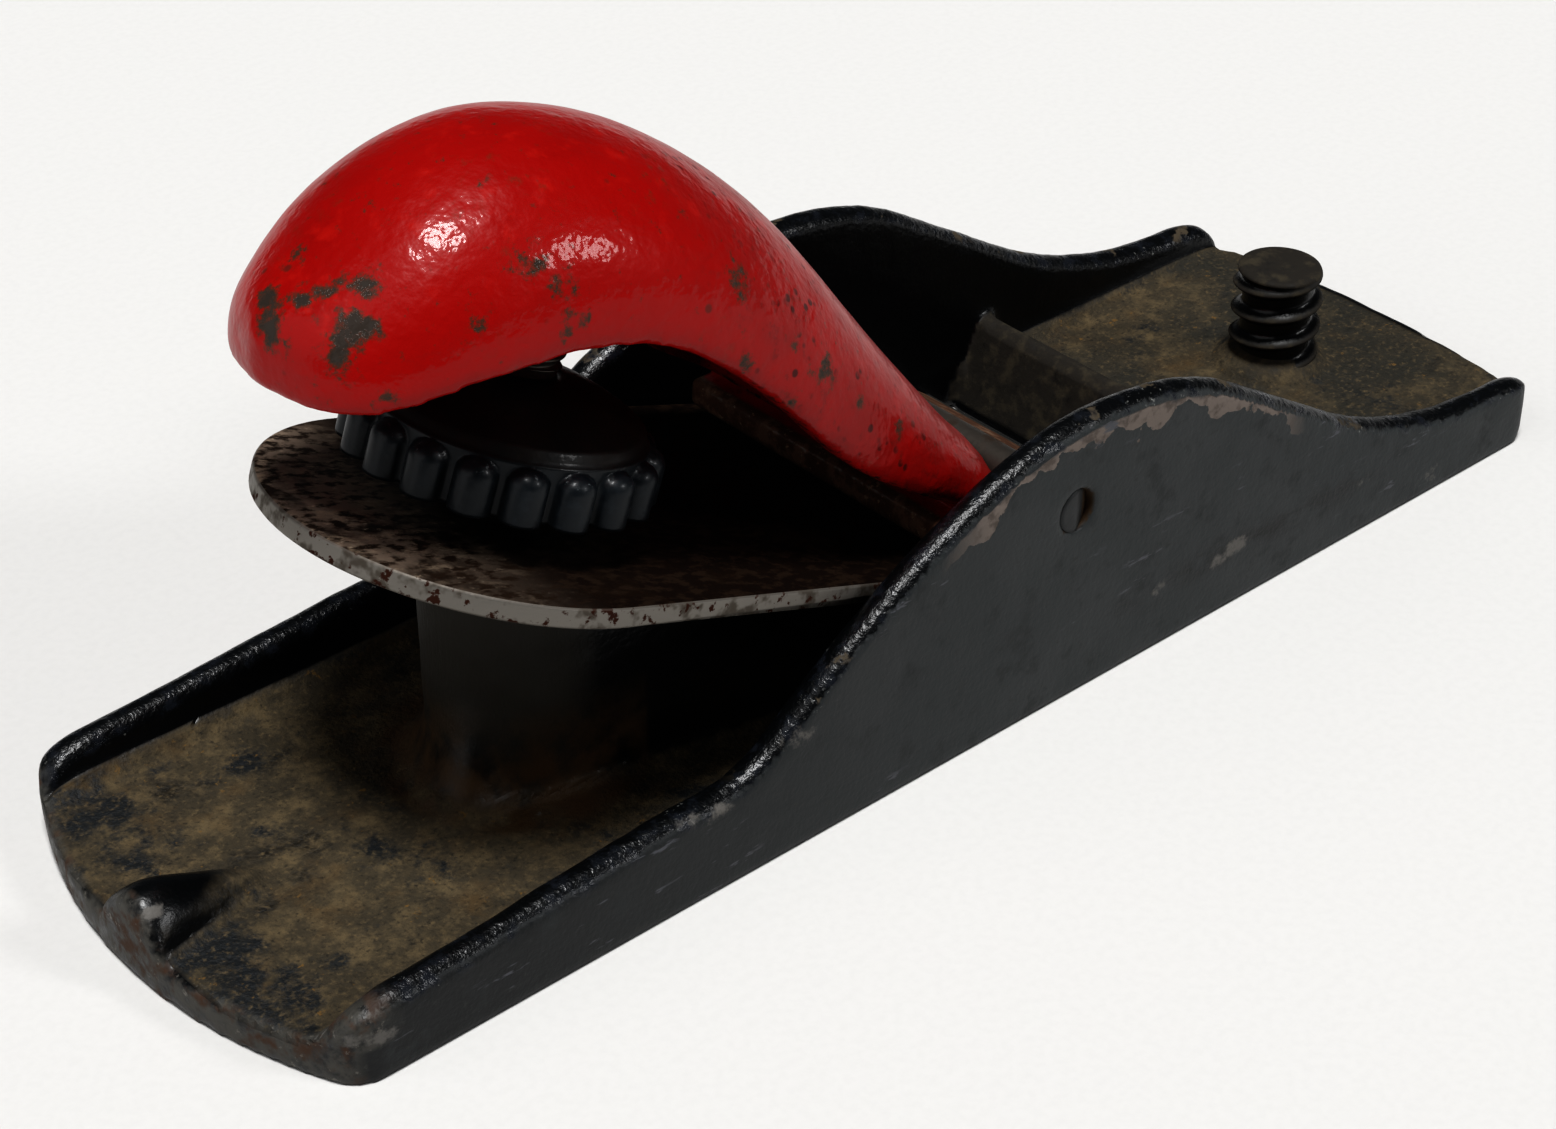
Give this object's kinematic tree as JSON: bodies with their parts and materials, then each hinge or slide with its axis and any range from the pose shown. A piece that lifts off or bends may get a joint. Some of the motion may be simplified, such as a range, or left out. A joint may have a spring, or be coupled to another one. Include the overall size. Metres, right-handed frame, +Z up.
{
  "type": "low angle block plane",
  "caption": "Low angle block plane with a bevel-up cutter clamped by a palm-shaped lever cap and a lobed thumb wheel.",
  "frame": {"origin": "on the sole's lower face, under the middle of the body", "axes": "+X towards the toe, +Y towards the far side wall, +Z up"},
  "size_m": [0.14, 0.0426, 0.0572],
  "materials": {
    "black_casting": "worn black japanning over cast iron",
    "pin_steel": "dull steel",
    "cutter_steel": "brown patina",
    "red_enamel": "glossy red enamel with small chips",
    "screw_steel": "satin steel",
    "black_wheel": "glossy black"
  },
  "bodies": {
    "plane": {"plane_body": "black_casting", "fulcrum_pin": "pin_steel"},
    "blade": {"cutter": "cutter_steel"},
    "cap": {"lever_cap": "red_enamel"},
    "screw": {"clamp_screw": "screw_steel"},
    "wheel": {"thumb_wheel": "black_wheel"}
  },
  "joints": [
    {"name": "wheel_turn", "type": "hinge", "parent": "screw", "child": "wheel", "pos_m": [-0.03361, 0, 0.03268], "axis": [0.342, 0, 0.9397], "range_deg": [0, 720]},
    {"name": "screw_feed", "type": "slide", "parent": "cap", "child": "screw", "axis": [0.342, 0, 0.9397], "range_m": [0, 0.0025]},
    {"name": "cap_tilt", "type": "hinge", "parent": "plane", "child": "cap", "pos_m": [0.006, 0, 0.0181], "axis": [0, -1, 0], "range_deg": [0, 3]},
    {"name": "cutter_slide", "type": "slide", "parent": "plane", "child": "blade", "axis": [-0.9397, 0, 0.342], "range_m": [-0.0005, 0.03]}
  ],
  "couplings": [
    {"joint": "screw_feed", "follows": "wheel_turn", "m_per_rad": 0.00019894},
    {"joint": "cap_tilt", "follows": "wheel_turn", "ratio": 0.0041667}
  ]
}
